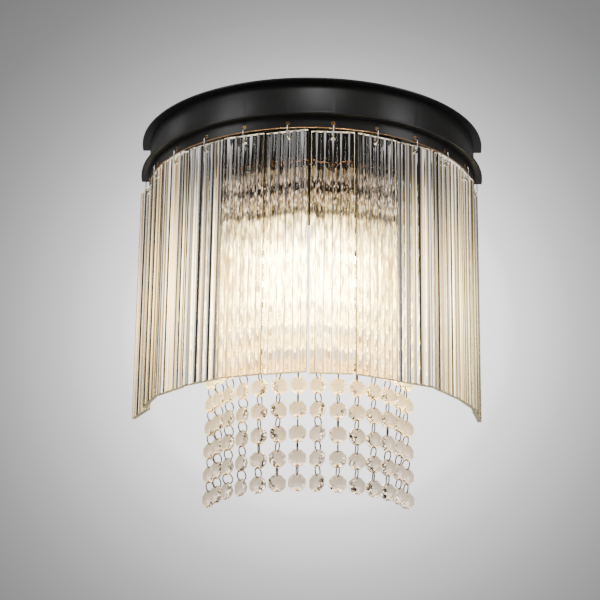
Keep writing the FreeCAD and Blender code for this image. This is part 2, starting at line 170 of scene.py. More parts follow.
def show(name, shape, material, body, stands_for=(), angle=32):
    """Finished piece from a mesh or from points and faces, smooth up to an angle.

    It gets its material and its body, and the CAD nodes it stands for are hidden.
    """
    mesh = shape if isinstance(shape, bpy.types.Mesh) else make_mesh(name, *shape)
    piece = bpy.data.objects.new(name, mesh)
    bpy.context.scene.collection.objects.link(piece)
    mesh.shade_smooth()
    mesh.set_sharp_from_angle(angle=radians(angle))
    mesh.materials.append(material)
    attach(piece, body)
    if stands_for:
        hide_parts(*stands_for)
    return piece


def rounded_section(x0, x1, z0, z1, round_by, steps=3):
    """Rectangle with rounded corners, as a closed loop of (x, z) points, counter-clockwise."""
    loop = []
    for cx, cz, first in ((x1 - round_by, z1 - round_by, 0), (x0 + round_by, z1 - round_by, 1),
                          (x0 + round_by, z0 + round_by, 2), (x1 - round_by, z0 + round_by, 3)):
        turn = (first + np.linspace(0, 1, steps + 1)) * pi / 2
        loop.append(np.stack([cx + round_by * np.cos(turn), cz + round_by * np.sin(turn)], 1))
    return np.concatenate(loop)


def carried_round(profile, c, s, centre=(0, 0)):
    """Points of a (radius, height) profile carried round a vertical axis in the ways (c, s).

    Point (i, j) is (x + r_j c_i, y + r_j s_i, z_j).
    """
    radius, height = np.asarray(profile, float).T
    c, s = c[:, None], s[:, None]
    points = np.stack([centre[0] + radius * c, centre[1] + radius * s, height + 0 * c], -1)
    return points.reshape(-1, 3)


def half_turned(section, steps=120):
    """Closed loop carried half round the Z axis in front of the wall, with both ends capped."""
    turn = np.linspace(0, pi, steps + 1)
    return (carried_round(section, -np.cos(turn), -np.sin(turn)),
            capped_faces(steps + 1, len(section)))


def turned(profile, centre, steps=48):
    """Open profile carried right round a vertical axis, with its ends off the axis capped."""
    turn, count = full_turn(steps), len(profile)
    faces = grid_faces(steps, count, wrap_rows=True)
    for end in (0, count - 1):
        if profile[end][0] > 1e-6:
            faces.append([i * count + end for i in range(steps)])
    return carried_round(profile, np.cos(turn), np.sin(turn), centre), faces


def towards_front(rings, x, y, z, steps):
    """Loops of (distance, radius) round an axis along -Y through (x, y, z), both ends filled.

    Point (i, k) is (x + r_i cos a_k, y - h_i, z + r_i sin a_k). A radius may vary with a_k.
    """
    turn = full_turn(steps)
    points = np.array([np.stack([x + r * np.cos(turn), np.full(steps, y - h),
                                 z + r * np.sin(turn)], 1) for h, r in rings])
    return points.reshape(-1, 3), capped_faces(len(rings), steps)


def ring_tube(path, radius, sides=8):
    """Closed round wire along a flat loop: circles in the plane across the path's direction.

    Point (i, k) is p_i + radius (u_i cos a_k + v_i sin a_k), u and v square to the direction.
    """
    path = np.asarray(path, float)
    along = np.roll(path, -1, 0) - np.roll(path, 1, 0)
    along /= np.linalg.norm(along, axis=1)[:, None]
    normal = np.linalg.svd(path - path.mean(0))[2][-1]
    across = np.cross(along, normal)
    across /= np.linalg.norm(across, axis=1)[:, None]
    up = np.cross(across, along)
    turn = full_turn(sides)[None, :, None]
    points = path[:, None] + radius * (across[:, None] * np.cos(turn) + up[:, None] * np.sin(turn))
    return points.reshape(-1, 3), grid_faces(len(path), sides, wrap_rows=True, wrap_columns=True)


def bored(radius, depth, height, sides=12):
    """Round cutter along Y about the height."""
    turn = full_turn(sides)
    ring = np.stack([radius * np.cos(turn), 0 * turn, height + radius * np.sin(turn)], 1)
    return np.concatenate([ring + [0, -depth, 0], ring + [0, depth, 0]]), capped_faces(2, sides)


def drilled(mesh, tools):
    """The mesh with all the tool shapes cut out of it."""
    solid = bpy.data.objects.new("solid", mesh)
    cutter = bpy.data.objects.new("cutter", make_mesh("cutter", *join(tools)))
    for made in (solid, cutter):
        bpy.context.scene.collection.objects.link(made)
    cut = solid.modifiers.new("cut", "BOOLEAN")
    cut.operation, cut.object, cut.solver = "DIFFERENCE", cutter, "EXACT"
    graph = bpy.context.evaluated_depsgraph_get()
    result = bpy.data.meshes.new_from_object(solid.evaluated_get(graph))
    for made in (solid, cutter):
        bpy.data.objects.remove(made)
    return result


def spun(points, degrees):
    """Points turned about the Z axis."""
    t = radians(degrees)
    return points @ np.array([[cos(t), sin(t), 0], [-sin(t), cos(t), 0], [0, 0, 1]])


def round_the_drum(points, radius, angle, twist=0.0):
    """Points made at the origin, turned by a twist, moved out to the radius and round the drum."""
    points = np.asarray(points, float).reshape(-1, 3)
    return spun(spun(points, twist) + np.array([0, -radius, 0]), angle - 90)


def end_angles(count, first):
    """Evenly spread angles from the first at one end of the wall to its mirror at the other."""
    return np.linspace(first, 180 - first, count)


def copies(shape, radius, places):
    """The shape at each of the evenly spread angles of plates or strings, on the radius."""
    points, faces = shape
    return [(round_the_drum(points, radius, angle), faces) for angle in end_angles(*places)]


# ---------------------------------------------------------------- materials
class Finish:
    """Node material under construction: a Principled shader and short ways to feed it."""

    def __init__(self, name, **values):
        self.material = bpy.data.materials.new(name)
        self.material.use_nodes = True
        self.nodes = self.material.node_tree.nodes
        self.links = self.material.node_tree.links
        self.shader = self.nodes["Principled BSDF"]
        self.place = self.nodes.new("ShaderNodeTexCoord").outputs["Object"]
        for key, value in values.items():
            socket = self.shader.inputs[key.replace("_", " ")]
            socket.default_value = (*value, 1) if isinstance(value, tuple) else value

    def node(self, kind, output, inputs, **settings):
        """Output of a new node; each input takes a value or the link from another node."""
        made = self.nodes.new("ShaderNode" + kind)
        for name, value in settings.items():
            setattr(made, name, value)
        for key, value in inputs.items():
            if isinstance(value, bpy.types.NodeSocket):
                self.links.new(value, made.inputs[key])
            else:
                made.inputs[key].default_value = value
        return made.outputs[output]

    def feed(self, source, target):
        """Link into a socket of the shader."""
        self.links.new(source, self.shader.inputs[target])

    def noise(self, scale, stretch=(1, 1, 1), detail=3.0):
        """Noise on Object coordinates, stretched along an axis by a small factor there."""
        place = self.node("Mapping", "Vector", {"Vector": self.place, "Scale": stretch})
        return self.node("TexNoise", "Fac", {"Vector": place, "Scale": scale, "Detail": detail})

    def ramp(self, source, stops, target=None):
        """Colour or value from a ramp over the source, into a socket of the shader if named."""
        made = self.nodes.new("ShaderNodeValToRGB")
        elements = made.color_ramp.elements
        while len(elements) < len(stops):
            elements.new(0.5)
        for element, (place, value) in zip(elements, stops):
            element.position = place
            element.color = (*value, 1) if isinstance(value, tuple) else (value, value, value, 1)
        self.links.new(source, made.inputs["Fac"])
        if target:
            self.feed(made.outputs["Color"], target)
        return made.outputs["Color"]

    def varied(self, target, scale, low, high, stretch=(1, 1, 1), reach=(0.3, 0.7)):
        """Noise between two values or colours, into a socket of the shader."""
        self.ramp(self.noise(scale, stretch), [(reach[0], low), (reach[1], high)], target)

    def calc(self, operation, *values):
        """One Math node; a number goes in as it is."""
        return self.node("Math", "Value", dict(enumerate(values)), operation=operation)

    def plus(self, first, second):
        """Sum of two numbers."""
        return self.calc("ADD", first, second)

    def minus(self, first, second):
        """Difference of two numbers."""
        return self.calc("SUBTRACT", first, second)

    def times(self, product, *factors):
        """Product of numbers."""
        for factor in factors:
            product = self.calc("MULTIPLY", product, factor)
        return product

    def sized(self, axis):
        """Size of an Object coordinate or number, without its sign."""
        return self.calc("ABSOLUTE", axis)

    def dimmed(self, colour, amount):
        """A colour times an amount."""
        return self.node("VectorMath", "Vector", {0: colour, "Scale": amount}, operation="SCALE")

    def together(self, first, *others):
        """Sum of colours."""
        for other in others:
            first = self.node("VectorMath", "Vector", {0: first, 1: other}, operation="ADD")
        return first

    def cells(self, scale):
        """A number from 0 to 1, one for each small cell of a cut pattern."""
        colour = self.node("TexVoronoi", "Color", {"Vector": self.place, "Scale": scale})
        return self.node("SeparateColor", "Red", {"Color": colour})

    def attribute(self, name, output="Fac"):
        """A number or vector that the mesh carries at each point."""
        return self.node("Attribute", output, {}, attribute_name=name)

    def axis(self, letter, vector=None):
        """One Object coordinate, in metres, or one axis of another vector."""
        return self.node("SeparateXYZ", letter, {"Vector": vector or self.place})

    def span(self, source, start, end, low, high):
        """The source between start and end, mapped smoothly to low and high."""
        return self.node("MapRange", "Result", {"Value": source, "From Min": start, "From Max": end,
                                                "To Min": low, "To Max": high},
                         interpolation_type="SMOOTHSTEP")

    def nearness(self, centre, radius):
        """1 at a centre, falling evenly to 0 at the radius, in metres."""
        place = self.node("Mapping", "Vector", {"Vector": self.place, "Scale": (1 / radius,) * 3,
                                                "Location": [-c / radius for c in centre]})
        return self.node("TexGradient", "Fac", {"Vector": place}, gradient_type="SPHERICAL")

    def bump(self, source, strength):
        """Bump of the surface from a source, 0.2 mm high at full strength."""
        self.feed(self.node("Bump", "Normal", {"Height": source, "Strength": strength,
                                               "Distance": 0.0002}), "Normal")


def plain(name, colour, gloss, relief=None, **values):
    """Metal or plastic whose colour, gloss and relief vary, each by noise of its own scale.

    colour is (scale, dark, light), gloss (scale, low, high, stretch), relief (scale, stretch,
    strength).
    """
    made = Finish(name, **values)
    made.varied("Base Color", *colour)
    made.varied("Roughness", *gloss, reach=(0.2, 0.8))
    if relief:
        made.bump(made.noise(*relief[:2]), relief[2])
    return made.material


def black_paint():
    """Satin black paint: faint brown cast, soft uneven gloss, fine orange peel."""
    made = Finish("black_paint", Metallic=0.0, Coat_Weight=0.15, Coat_Roughness=0.25)
    made.varied("Base Color", 9, (0.011, 0.010, 0.0095), (0.017, 0.015, 0.014))
    made.varied("Roughness", 35, 0.33, 0.46, reach=(0.25, 0.75))
    made.bump(made.noise(1400), 0.06)
    return made.material


NO_LIGHT = (0.0, 0.0, 0.0)
ROOM = (0.015, 0.017, 0.014)               # painted reflection of the dark room, in a line of the crystal
ROOM_SIDE = (0.05, 0.045, 0.035)           # side of such a line


def side_crystal():
    """Reeded face of the plates at the sides, with the lamp's warm light painted in.

    The place across a line of light, from 0 to 1, wanders from plate to plate by slow noise.
    Along it stand a painted reflection of the room as a dark line, a painted cream band of light
    with a white thread, a clear band and a second painted thread. The painted light is stronger
    towards the lamps and faint beside the black drum.
    """
    made = Finish("side_crystal", IOR=1.5, Specular_IOR_Level=0.3, Emission_Strength=1.0)
    height, aside = made.axis("Z"), made.sized(made.axis("X"))
    wander = made.span(made.noise(60, (1, 1, 0.0), 2.0), 0.3, 0.7, -0.5, 0.5)
    across = made.calc("FRACT", made.plus(made.attribute("line"), wander))
    made.ramp(across, [(0.0, 0.0), (0.09, 0.0), (0.12, 1.0), (0.44, 1.0), (0.46, 0.1),
                       (0.49, 0.1), (0.51, 1.0), (0.94, 1.0), (0.97, 0.0)],
              "Transmission Weight")
    # Base colour with painted reflections of the dark room as lines.
    tint_and_room_lines = made.ramp(across, [(0.0, ROOM), (0.09, ROOM_SIDE), (0.13, (1.0, 0.94, 0.82)),
                              (0.42, (0.95, 0.83, 0.66)), (0.46, ROOM_SIDE), (0.49, ROOM_SIDE),
                              (0.53, (0.90, 0.90, 0.90)), (0.93, (1.0, 0.97, 0.93)),
                              (0.97, ROOM)])
    # Painted shade: the base colour darkens towards the top, where the black drum is seen through
    # the plate; less so on the outer plates.
    depth = made.span(height, -0.03, -0.16, 0.0, 1.0)
    outer = made.span(aside, 0.100, 0.128, 0.16, 0.8)
    painted_drum_shade = made.plus(outer, made.times(depth, made.minus(1.0, outer)))
    made.feed(made.dimmed(tint_and_room_lines, painted_drum_shade), "Base Color")
    made.varied("Roughness", 40, 0.0, 0.03)
    made.bump(made.noise(160, (1, 1, 0.12)), 0.08)
    lowered = made.times(made.span(height, -0.025, -0.14, 0.012, 0.55),
                         made.span(height, -0.13, -0.20, 1.0, 0.5),
                         made.span(aside, 0.118, 0.132, 1.0, 0.6))
    shade = made.plus(lowered, made.times(made.minus(outer, 0.16), 0.16))
    near = made.span(made.nearness(LAMP_MIDDLE, 0.24), 0.15, 0.62, 0.75, 3.7)
    vary = made.span(made.noise(110, (1, 1, 0.01), 1.0), 0.35, 0.65, 0.15, 1.4)
    # Painted lamp light as emission: cream bands and white threads.
    light = made.ramp(across, [(0.11, NO_LIGHT), (0.16, (2.2, 1.42, 0.46)),
                               (0.20, (9.0, 7.4, 4.2)), (0.24, (2.6, 1.7, 0.6)),
                               (0.42, (2.0, 1.27, 0.45)), (0.46, NO_LIGHT),
                               (0.68, (0.4, 0.28, 0.08)), (0.72, (6.0, 4.9, 2.4)),
                               (0.76, (0.4, 0.28, 0.08)), (0.95, NO_LIGHT)])
    made.feed(made.dimmed(light, made.times(near, vary, shade)), "Emission Color")
    return made.material


def front_crystal():
    """Reeded face of the front plates: clear, one pale thread of painted reflection along the crest
    of each reed.

    The threads are grey under the drum, widen to painted white highlights at the upper edge and
    shine as pale as the lamp's haze below. Between them the lamp's light is painted in short yellow
    strokes, under two rows of painted shade and a row of painted flecks of light.
    """
    made = Finish("front_crystal", IOR=1.5, Emission_Strength=1.0)
    height = made.axis("Z")
    level = made.span(height, -0.22, 0.0, 0.0, 1.0)
    crest = made.sized(made.minus(made.calc("FRACT", made.attribute("line")), 0.5))
    drift = made.span(made.noise(45, (1, 1, 0.3)), 0.3, 0.7, -0.03, 0.04)
    width = made.plus(made.span(height, -0.036, -0.013, 0.045, 0.15), drift)
    off_crest = made.minus(crest, width)
    thread = made.span(off_crest, 0.015, -0.015, 0.0, 1.0)
    made.ramp(thread, [(0.0, 1.0), (1.0, 0.25)], "Transmission Weight")

    flute = made.ramp(off_crest, [(0.0, (0.20, 0.18, 0.165)), (0.03, (0.16, 0.14, 0.12)),
                                  (0.07, (1.0, 0.94, 0.82)), (0.38, (1.0, 0.93, 0.80)),
                                  (0.44, (0.25, 0.22, 0.18))])
    uneven = made.span(made.noise(330, (1, 1, 0.35)), 0.35, 0.65, -0.0025, 0.0025)
    rows_of_shade = made.ramp(made.span(made.plus(height, uneven), -0.22, 0.0, 0.0, 1.0),
                              [(0.675, 1.0), (0.690, 0.25), (0.714, 0.25), (0.732, 1.0),
                               (0.795, 1.0), (0.808, 0.45), (0.829, 0.45), (0.842, 1.0)])
    cloudy = made.span(made.noise(420, (1, 1, 0.22)), 0.35, 0.65, 0.72, 1.0)
    made.feed(made.dimmed(flute, made.times(rows_of_shade, cloudy)), "Base Color")
    made.varied("Roughness", 40, 0.0, 0.02)
    made.bump(made.noise(160, (1, 1, 0.08)), 0.03)

    haze = made.ramp(level, [(0.0, (1.1, 0.74, 0.44)), (0.35, (1.8, 1.3, 0.8)),
                             (0.55, (1.9, 1.45, 1.0)), (0.64, (0.38, 0.29, 0.22)),
                             (0.72, (0.11, 0.095, 0.08)), (1.0, (0.07, 0.07, 0.07))])
    # Painted highlights: white streaks on the threads at the upper edge.
    streak = made.span(made.noise(110, (1, 1, 0.05)), 0.45, 0.62, 0.0, 0.6)
    top = made.times(made.span(height, -0.040, -0.012, 0.0, 1.0), streak)
    painted_top_highlights = made.dimmed((1.0, 1.0, 1.0), made.times(thread, top))

    # Painted lamp light between the threads: strokes, a glowing core, a low haze and flecks.
    lens = made.noise(520, (1, 1, 0.16))
    strokes = made.ramp(lens, [(0.38, (0.1, 0.06, 0.03)), (0.47, (1.8, 1.15, 0.36)),
                               (0.56, (4.4, 3.2, 0.8)), (0.68, (12.0, 10.0, 4.5))])
    near = made.span(made.nearness(LAMP_MIDDLE, 0.15), 0.05, 0.5, 0.04, 1.35)
    lamp_side = made.span(height, -0.062, -0.115, 0.0, 1.0)
    core = made.times(made.span(lens, 0.38, 0.6, 0.3, 1.2),
                      made.span(made.nearness(GLOW_MIDDLE, 0.08), 0.15, 1.0, 0.0, 1.0))
    low_haze = made.ramp(level, [(0.0, (1.2, 0.60, 0.02)), (0.35, (1.9, 1.05, 0.04)),
                                 (0.5, (1.2, 0.78, 0.04)), (0.58, NO_LIGHT)])
    light_flecks = made.ramp(made.noise(900, (1, 1, 0.25)),
                       [(0.50, NO_LIGHT), (0.56, (0.6, 0.38, 0.22)), (0.66, (3.2, 2.4, 1.7))])
    light_fleck_row = made.times(made.span(height, -0.038, -0.070, 0.0, 0.8),
                           made.span(height, -0.085, -0.100, 1.0, 0.0))
    between = made.times(rows_of_shade, made.minus(1.0, thread))
    glow = made.together(made.dimmed(light_flecks, light_fleck_row), made.dimmed((11.0, 8.4, 4.0), core),
                         made.dimmed(strokes, made.times(near, lamp_side)), low_haze)
    made.feed(made.together(made.dimmed(glow, between), made.dimmed(haze, thread), painted_top_highlights),
              "Emission Color")
    return made.material


def plate_back():
    """Flat back of a crystal plate: clear, faintly warm, a little wavy."""
    made = Finish("plate_back", Transmission_Weight=1.0, IOR=1.5)
    made.varied("Base Color", 90, (0.95, 0.88, 0.80), (1.0, 0.96, 0.90), (1, 1, 0.05))
    made.varied("Roughness", 40, 0.0, 0.02)
    made.bump(made.noise(160, (1, 1, 0.12)), 0.05)
    return made.material


def plate_edge():
    """Ground edge of a crystal plate: pale and milky, with small chips and patches of painted
    light.
    """
    made = Finish("plate_edge", Transmission_Weight=0.35, IOR=1.5, Emission_Strength=1.0)
    made.varied("Base Color", 700, (0.80, 0.77, 0.66), (0.95, 0.93, 0.85), reach=(0.35, 0.65))
    made.varied("Roughness", 500, 0.3, 0.6)
    # Painted light: the edge glows in patches, from dim brown to bright cream.
    made.ramp(made.span(made.noise(420, (1, 1, 0.2)), 0.3, 0.7, 0.0, 1.0),
              [(0.0, (0.10, 0.085, 0.055)), (1.0, (2.8, 2.5, 1.8))], "Emission Color")
    return made.material


def plate_foot():
    """Sides and lower ground edge: the same crystal with painted shade and faint painted light,
    olive brown from below.
    """
    made = Finish("plate_foot", Transmission_Weight=0.25, IOR=1.5, Emission_Strength=1.0)
    shade = made.span(made.axis("Z"), -0.06, -0.105, 0.04, 1.0)
    ground = made.ramp(made.noise(700), [(0.35, (0.34, 0.31, 0.22)), (0.65, (0.55, 0.51, 0.38))])
    made.feed(made.dimmed(ground, shade), "Base Color")
    made.varied("Roughness", 500, 0.25, 0.5)
    # Painted warm light, dimmed by the same painted shade.
    light = made.ramp(made.noise(420), [(0.3, (0.04, 0.035, 0.02)), (0.7, (0.20, 0.17, 0.11))])
    made.feed(made.dimmed(light, shade), "Emission Color")
    return made.material


def lamp_light_on_beads(made):
    """Warm light of the lamps by height, from 0.30 m below to the origin."""
    return made.ramp(made.span(made.axis("Z"), -0.30, 0.0, 0.0, 1.0), [
        (0.0, (0.46, 0.35, 0.22)), (0.1, (0.66, 0.49, 0.28)), (0.22, (0.95, 0.65, 0.27)),
        (0.33, (1.6, 1.1, 0.35)), (0.45, (3.0, 2.4, 1.0)), (0.63, (4.0, 3.4, 1.5)),
        (0.70, (1.6, 1.12, 0.62)), (0.76, (0.25, 0.16, 0.11)), (0.81, (0.05, 0.035, 0.02)),
        (0.9, NO_LIGHT)])


def bead_crystal():
    """Cut crystal of the beads: clear and warm, aglow beside the lamps."""
    made = Finish("bead_crystal", Transmission_Weight=1.0, IOR=1.5, Emission_Strength=1.0)
    made.varied("Base Color", 120, (0.88, 0.81, 0.71), (0.95, 0.90, 0.82))
    made.varied("Roughness", 200, 0.0, 0.02)
    aglow = made.span(made.axis("Z"), -0.235, -0.20, 0.05, 0.8)
    made.feed(made.dimmed(lamp_light_on_beads(made), aglow), "Emission Color")
    return made.material


def bead_table():
    """Flat face of a bead: milky with the lamp's light painted in, cut on its turned side to
    painted sparkles and painted dark reflections.

    "own" is the place in the bead's own frame, from -1 to 1, with x towards the turned side. A
    painted bright triangle, the lamp's reflection in a facet, stands on the lowest edge.
    """
    made = Finish("bead_table", IOR=1.5, Emission_Strength=1.0)
    own = made.attribute("own", "Vector")
    own_x, own_z = made.axis("X", own), made.axis("Z", own)
    wander = made.span(made.noise(260), 0.3, 0.7, -0.3, 0.3)
    side = made.minus(made.plus(own_x, wander), made.times(own_z, 0.3))
    milk = made.span(side, 0.30, 0.44, 1.0, 0.0)
    clear = made.minus(1.0, milk)
    cut = made.cells(720)
    open_cut = made.ramp(cut, [(0.0, 0.1), (0.22, 0.1), (0.24, 1.0), (1.0, 1.0)])
    made.feed(made.plus(made.times(milk, 0.55), made.times(open_cut, clear)),
              "Transmission Weight")
    made.ramp(milk, [(0.0, 0.0), (1.0, 0.25)], "Roughness")
    pale = made.ramp(made.noise(120), [(0.3, (0.88, 0.81, 0.72)), (0.7, (0.96, 0.91, 0.84))])
    dark = made.ramp(cut, [(0.0, 0.03), (0.22, 0.04), (0.24, 0.75), (1.0, 1.0)])
    made.feed(made.dimmed(pale, made.plus(milk, made.times(dark, clear))), "Base Color")
    # Painted lamp light: brighter towards the lower edge, a painted highlight on the lower flanks,
    # painted sparkles in the cut cells.
    facing = made.span(own_z, 1.0, -1.0, 0.75, 1.2)
    flank = made.plus(own_z, made.times(made.sized(own_x), 0.8))
    gleam = made.span(flank, -0.58, -0.50, 2.2, 0.0)
    spark = made.ramp(cut, [(0.0, 0.0), (0.78, 0.0), (0.80, 1.0), (1.0, 1.0)])
    shine = made.plus(made.times(milk, made.plus(facing, gleam)),
                      made.times(spark, made.times(clear, 5.0)))
    made.feed(made.dimmed(lamp_light_on_beads(made), shine), "Emission Color")
    return made.material


def lit_bulb():
    """Lit warm candle glass: brightest round its middle, dim at the neck, softer at the tip."""
    made = Finish("lit_bulb", Base_Color=(0.95, 0.9, 0.8), Roughness=0.3, Emission_Strength=120.0)
    height = made.span(made.axis("Z"), (HOLDER_LOW_Z - BULB_LENGTH) * MM, HOLDER_LOW_Z * MM, 0, 1)
    made.ramp(height, [(0.0, (0.75, 0.54, 0.22)), (0.2, (1.0, 0.84, 0.48)),
                       (0.64, (1.0, 0.86, 0.52)), (0.76, (0.03, 0.02, 0.006)),
                       (1.0, (0.006, 0.004, 0.001))], "Emission Color")
    return made.material


BLACK = black_paint()
SIDE_CRYSTAL = side_crystal()
FRONT_CRYSTAL = front_crystal()
CLEAR = plate_back()
EDGE = plate_edge()
FOOT = plate_foot()
BEAD = bead_crystal()
TABLE = bead_table()
BULB = lit_bulb()
# Copper-coloured bare metal at drilled holes and cut edges; at the cut edges the copper also stands
# as a painted glint of the lamps' warm light.
COPPER = plain("copper_rims_and_lit_edges", (60, (0.60, 0.27, 0.09), (0.78, 0.40, 0.16)), (300, 0.22, 0.4),
               Metallic=1.0)
# Bright plated wire of the links, with faint drawing marks.
CHROME = plain("chrome", (80, (0.62, 0.62, 0.63), (0.83, 0.83, 0.84)), (500, 0.08, 0.2),
               Metallic=1.0)
# Nickel wire of the jump rings: darker than the links, a little tarnished.
WIRE = plain("bead_wire", (160, (0.14, 0.115, 0.09), (0.32, 0.28, 0.24)), (500, 0.12, 0.26),
             Metallic=1.0)
# Moulded black phenolic of the holders: fine grain, dull gloss.
PHENOLIC = plain("black_plastic", (50, (0.012, 0.012, 0.012), (0.022, 0.021, 0.02)),
                 (400, 0.35, 0.55), (900, (1, 1, 1), 0.08))
# White moulded nylon of the terminal block.
NYLON = plain("white_plastic", (60, (0.74, 0.73, 0.69), (0.82, 0.81, 0.78)), (300, 0.4, 0.55),
              (700, (1, 1, 1), 0.06), Subsurface_Weight=0.1)
# Zinc-plated steel with a grain along its length.
ZINC = plain("zinc_steel", (30, (0.52, 0.52, 0.50), (0.66, 0.66, 0.63)),
             (220, 0.28, 0.5, (0.05, 1, 1)), (600, (0.05, 1, 1), 0.1), Metallic=1.0)
# Turned brass, slightly dull.
BRASS = plain("brass", (40, (0.68, 0.48, 0.2), (0.82, 0.62, 0.3)), (260, 0.22, 0.42),
              (500, (1, 1, 0.05), 0.05), Metallic=1.0)
# Silicone sleeve of the leads.
SLEEVE = plain("lead_sleeve", (90, (0.02, 0.018, 0.017), (0.04, 0.037, 0.035)),
               (300, 0.45, 0.6))


def finish_cad_nodes():
    """Better materials for the CAD nodes whose shapes stay."""
    finishes = {"ring_stays": BLACK, "wall_bracket": ZINC, "earth_screw": BRASS,
                "bracket_studs": ZINC, "holder_straps": BLACK, "holder_nipples": BRASS,
                "bulb_caps": BRASS, "lead_bushes": PHENOLIC, "terminal_block": NYLON}
    for node, finish in finishes.items():
        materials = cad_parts[node].data.materials
        materials.clear()
        materials.append(finish)


# ---------------------------------------------------------------- black half drum
def drilled_half_ring(name, middle, low, high, hole, hole_z, places, steps):
    """Upright half ring of sheet about a middle radius, with a drilled hole at each place."""
    section = rounded_section(middle - SHEET / 2, middle + SHEET / 2, low, high, SHEET_EDGE)
    return drilled(make_mesh(name, *half_turned(section, steps)),
                   copies(bored(hole, CUT_DEPTH, hole_z), middle, places))


def worn_and_lamp_lit_edge(piece, radius, height):
    """Paint worn through at a sheet's lower corner, outside the radius and below the height,
    coloured copper as a painted glint of the lamps' warm light.
    """
    piece.data.materials.append(COPPER)
    for face in piece.data.polygons:
        outer = sqrt(face.center.x ** 2 + face.center.y ** 2) > radius * MM
        if outer and face.center.z < height * MM:
            face.material_index = 1


def make_drum():
    """Lid, drilled band, flange and drilled inner ring, each with softened edges."""
    edge = rounded_section(0, BAND_RADIUS + RIM, TOP_Z, TOP_Z + SHEET, PRESSED_EDGE)
    section = np.concatenate([[(0.0, TOP_Z)], edge[-4:], edge[:4], [(0.0, TOP_Z + SHEET)]])
    show("lid", half_turned(section), BLACK, "frame", ["top_plate"])

    mesh = drilled_half_ring("band", BAND_MIDDLE, SKIRT_Z, TOP_Z, HOOK_HOLE, HOOK_HOLE_Z,
                             PLATES, 120)
    band = show("band", mesh, BLACK, "frame", ["outer_band"])
    # The band's lower edge: worn paint, coloured copper as a painted glint of the lamps' light.
    worn_and_lamp_lit_edge(band, BAND_RADIUS - 0.5, SKIRT_Z + 0.12)

    section = rounded_section(BAND_RADIUS, BAND_RADIUS + RIM, FLANGE_Z, FLANGE_Z + SHEET,
                              PRESSED_EDGE)
    show("flange", half_turned(section), BLACK, "frame", ["band_flange"])

    mesh = drilled_half_ring("string_ring", RING_RADIUS, RING_LOW_Z, RING_LOW_Z + RING_HEIGHT,
                             STRING_HOLE, STRING_HOLE_Z, STRINGS, 96)
    ring = show("string_ring", mesh, BLACK, "frame", ["inner_ring"])
    # The inner ring's lower edge: the same worn paint and painted glint.
    worn_and_lamp_lit_edge(ring, RING_RADIUS + SHEET / 2 - 0.7, RING_LOW_Z + 0.3)


def make_hole_rims():
    """Copper rims, rolled rings about the Y axis, on the outer face of each drilled hole."""
    turn = full_turn(20)
    parts = []
    for radius, rim, height, places in (
            (BAND_RADIUS, HOOK_RIM, HOOK_HOLE_Z, PLATES),
            (RING_RADIUS + SHEET / 2, STRING_RIM, STRING_HOLE_Z, STRINGS)):
        points, faces = ring_tube(np.stack([rim * np.cos(turn), 0 * turn,
                                            rim * np.sin(turn)], 1), RIM_WIRE, 6)
        parts += copies((points + [0, 0, height], faces), radius, places)
    show("hole_rims", join(parts), COPPER, "frame", ())


# ---------------------------------------------------------------- canopy and what it holds
def make_canopy():
    """Pressed pan: rounded rectangles drawn in towards the front, outside and inside.

    Outside, a loop is drawn in by soft (1 - cos t) at y = soft - depth - soft sin t, t from 0 to
    90 degrees. Inside, the same bend is smaller by the wall.
    """
    width, low, top, depth, corner = CANOPY
    wall, soft = 1.2, 3.0
    bend = np.linspace(0, pi / 2, 6)
    outside = [(0.0, 0.0)] + [(soft * (1 - cos(t)), soft - depth - soft * sin(t)) for t in bend]
    inside = [(soft * (1 - cos(t)) + wall * cos(t), soft - depth - (soft - wall) * sin(t))
              for t in bend[::-1]] + [(wall, 0.0)]
    loops = []
    for inset, y in outside + inside:
        section = rounded_section(-width / 2 + inset, width / 2 - inset, low + inset, top - inset,
                                  max(corner - inset, 1.0), 5)
        loops.append(np.stack([section[:, 0], np.full(len(section), y), section[:, 1]], 1))
    count, outer = len(loops[0]), len(outside)
    start, last = outer * count, (len(loops) - 1) * count
    faces = grid_faces(outer, count, wrap_columns=True)
    faces += [[c + start for c in face]
              for face in grid_faces(len(inside), count, wrap_columns=True)]
    faces += [list(range(start - count, start)), list(range(start, start + count))]
    faces += [[k, (k + 1) % count, last + (k + 1) % count, last + k] for k in range(count)]
    show("canopy_pan", (np.concatenate(loops), faces), BLACK, "frame", ["canopy"])


def make_cap_nuts():
    """Hexagon nuts with a dome: loops that rise along -Y, hexagons first, then circles.

    A hexagon's radius is 4 / cos a, a counted from the middle of each flat, at most 4.35.
    """
    hexagon = 4.0 / np.cos((full_turn(36) + pi / 6) % (pi / 3) - pi / 6)
    rings = [(height, np.minimum(hexagon, 4.35) * share)
             for height, share in ((0.0, 0.94), (0.3, 1.0), (3.7, 1.0), (4.0, 0.95))]
    rings += [(4.0 + 4.5 * sin(t), max(3.1 * cos(t), 0.01)) for t in np.linspace(0, pi / 2, 7)]
    nuts = [towards_front(rings, side * STUD_X, -CANOPY[3], 0.0, 36) for side in (-1, 1)]
    show("dome_nuts", join(nuts), BLACK, "frame", ["cap_nuts"])


def bulb_profile():
    """Candle bulb down its axis, as (radius, height).

    At a share s of the length the radius is neck + (widest - neck) sin(s / 0.4) down to 0.4, and
    widest times cos((s - 0.4) / 0.6) to the power 0.8 below, each taken over a quarter turn.
    """
    share = np.linspace(0, 1, 26)
    above = BULB_NECK + (BULB_RADIUS - BULB_NECK) * np.sin(pi / 2 * share / 0.4)
    below = BULB_RADIUS * np.cos(pi / 2 * np.clip((share - 0.4) / 0.6, 0, 1)) ** 0.8
    below[-1] = 0.0
    return np.stack([np.where(share <= 0.4, above, below), HOLDER_LOW_Z - BULB_LENGTH * share], 1)


